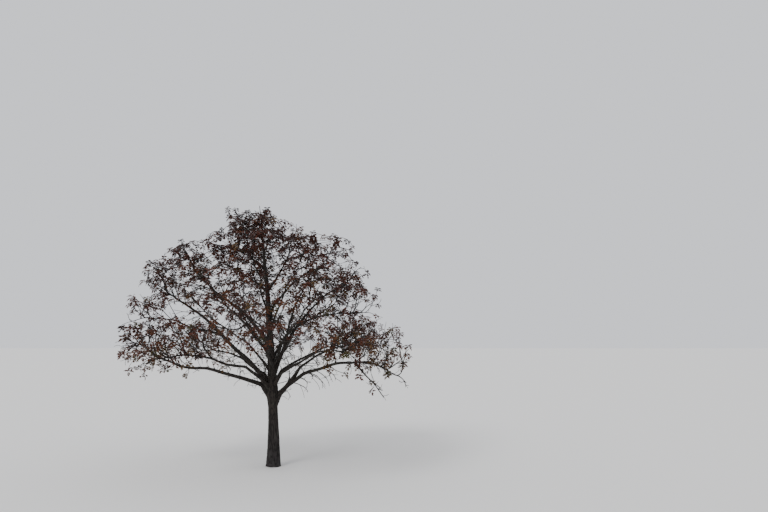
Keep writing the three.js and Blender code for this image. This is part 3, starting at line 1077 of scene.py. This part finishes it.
# %% Gather leaves into sprays
SPRAY_KINDS = 14
FEWEST_LEAVES, MOST_LEAVES = 7, 9
STALK_LENGTH = 0.088
LEAF_SAGS = (0.4, 1.0)
LOWEST_LEAF_SIZE, LEAF_SIZE_LOSS = 1.1, 0.45
LOWEST_LEAF_SLOPES, LEAF_SLOPE_GAIN = (-5, 15), 45
LEAFY_LENGTH = 0.07
GOLDEN_TURN = math.radians(137.5)
TURN_CHANCE = 0.3
ABOUT_Y, ABOUT_Z = (2, 0), (0, 1)


def turned(points, about, angle):
    """Points turned about an axis, which is given by the two axes that it turns."""
    a, b = about
    result = points.copy()
    result[:, a] = points[:, a] * math.cos(angle) - points[:, b] * math.sin(angle)
    result[:, b] = points[:, a] * math.sin(angle) + points[:, b] * math.cos(angle)
    return result


def spray():
    """The leaves round the end of one shoot, which points along +Z and ends at the origin."""
    leaves = []
    count = random.integers(FEWEST_LEAVES, MOST_LEAVES + 1)
    for i in range(count):
        share = i / (count - 1)
        length = STALK_LENGTH * (LOWEST_LEAF_SIZE - LEAF_SIZE_LOSS * share)
        shape, triangles = leaf(length, 3 if i % 3 else 2, random.uniform(*LEAF_SAGS))
        slope = random.uniform(*LOWEST_LEAF_SLOPES) + LEAF_SLOPE_GAIN * share
        shape = turned(shape, ABOUT_Y, -math.radians(slope))
        shape = turned(shape, ABOUT_Z, i * GOLDEN_TURN + random.uniform(-TURN_CHANCE, TURN_CHANCE))
        leaves.append((shape + STRAIGHT_UP * (LEAFY_LENGTH * share - LEAFY_LENGTH), triangles, 0))
    return joined(leaves)[:2]


sprays = [spray() for _ in range(SPRAY_KINDS)]
print(f"a spray has {np.mean([len(faces) for _, faces in sprays]):.0f} triangles")

# %% [markdown]
# One spray goes on the end of each shoot, tilted part of the way from the shoot's heading to straight
# up. Its tint is dealt by where it grows: high and far out the leaves are darkest and reddest, low and
# near the trunk they are greener, with a good deal of chance in between.

# %% Put the leaves on
LEAFY_HEIGHTS = (3.0, 3.9, 5.0, 6.2, 7.4, 8.6)
LEAFY_SHARES = (0.14, 0.44, 0.48, 0.52, 0.76, 1.0)
BARE_HEART = np.array([0.0, 0.0, 3.4])
BARE_REACH, FULL_REACH = 1.5, 2.6
LOW_LEAVES, HIGH_LEAVES = 2.6, 8.6
CROWN_REACH = 5.0
LEAST_RED, RED_BY_HEIGHT, RED_BY_REACH = 0.12, 0.55, 0.25
TINT_CHANCE = 0.16
SHOOT_SHARE = 0.7
SPRAY_SIZES = (0.75, 1.2)
SIDE_TILT = 0.1


def leafy(place):
    """Whether a shoot there bears leaves: seldom low down, and never in the heart over the fork."""
    share = np.interp(place[2], LEAFY_HEIGHTS, LEAFY_SHARES)
    reach = np.linalg.norm(place - BARE_HEART)
    return random.random() < share * np.clip((reach - BARE_REACH) / (FULL_REACH - BARE_REACH), 0, 1)


def dealt_tint(place):
    """The number of a spray's tint, from 0 for the greenest."""
    height = (place[2] - LOW_LEAVES) / (HIGH_LEAVES - LOW_LEAVES)
    outward = math.hypot(place[0], place[1]) / CROWN_REACH
    red = LEAST_RED + RED_BY_HEIGHT * height + RED_BY_REACH * outward + random.normal(0, TINT_CHANCE)
    return int(np.clip(red * len(LEAF_TINTS), 0, len(LEAF_TINTS) - 1))


def placed(shape, place, heading):
    """A spray's points, set on a shoot's end with a turn and a size of its own."""
    up = unit(SHOOT_SHARE * heading + STRAIGHT_UP)
    angle = random.uniform(0, 2 * math.pi)
    side = unit(np.cross(up, (math.cos(angle), math.sin(angle), SIDE_TILT)))
    return shape * random.uniform(*SPRAY_SIZES) @ np.array([side, np.cross(up, side), up]) + place


count = 0
for name, (places, headings, _, _, tips) in grown.items():
    dealt = []
    for place, heading in zip(places[-tips:], headings[-tips:]):
        if leafy(place):
            shape, triangles = sprays[random.integers(SPRAY_KINDS)]
            dealt.append((placed(shape, place, heading), triangles, dealt_tint(place)))
    points, faces, which = joined(dealt)
    title = crown_name(name)
    piece = add_piece(title + "_leaves", points, faces, leaf_finishes, which)
    if title + FOLIAGE in solids:
        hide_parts(title + FOLIAGE)
    count += len(faces)
print(f"the leaves have {count} triangles")

# %% [markdown]
# The studio is a floor so wide that its edge can't be seen, an even pale backdrop that gives light from
# all round, and one soft, broad lamp high up on the left, on the camera's side of the tree.

# %% Floor and light
FLOOR_HALF = 300
FLOOR_COLOUR, FLOOR_ROUGHNESS = colour(0.80, 0.79, 0.77), 1.0
BACKDROP_COLOUR, BACKDROP_STRENGTH = colour(0.93, 0.95, 1.0), 1.0
LAMP_STRENGTH = 1.6
LAMP_SPREAD = math.radians(25)
LAMP_TIPPED, LAMP_TURNED = math.radians(48), math.radians(-38)

floor_corners = [(x * FLOOR_HALF, y * FLOOR_HALF, 0) for x, y in [(-1, -1), (1, -1), (1, 1), (-1, 1)]]
floor_mesh = bpy.data.meshes.new("floor")
floor_mesh.from_pydata(floor_corners, [], [(0, 1, 2, 3)])
floor_mesh.materials.append(plain_finish("pale_floor", FLOOR_COLOUR, FLOOR_ROUGHNESS))
floor = bpy.data.objects.new("floor", floor_mesh)
bpy.context.scene.collection.objects.link(floor)

world = bpy.data.worlds.new("studio")
world.use_nodes = True
background = next(n for n in world.node_tree.nodes if n.type == "BACKGROUND")
background.inputs["Color"].default_value = BACKDROP_COLOUR
background.inputs["Strength"].default_value = BACKDROP_STRENGTH
bpy.context.scene.world = world

lamp_data = bpy.data.lights.new("soft_lamp", "SUN")
lamp_data.energy = LAMP_STRENGTH
lamp_data.angle = LAMP_SPREAD
lamp = bpy.data.objects.new("soft_lamp", lamp_data)
lamp.rotation_euler = (LAMP_TIPPED, 0, LAMP_TURNED)
bpy.context.scene.collection.objects.link(lamp)
print("the studio is lit")
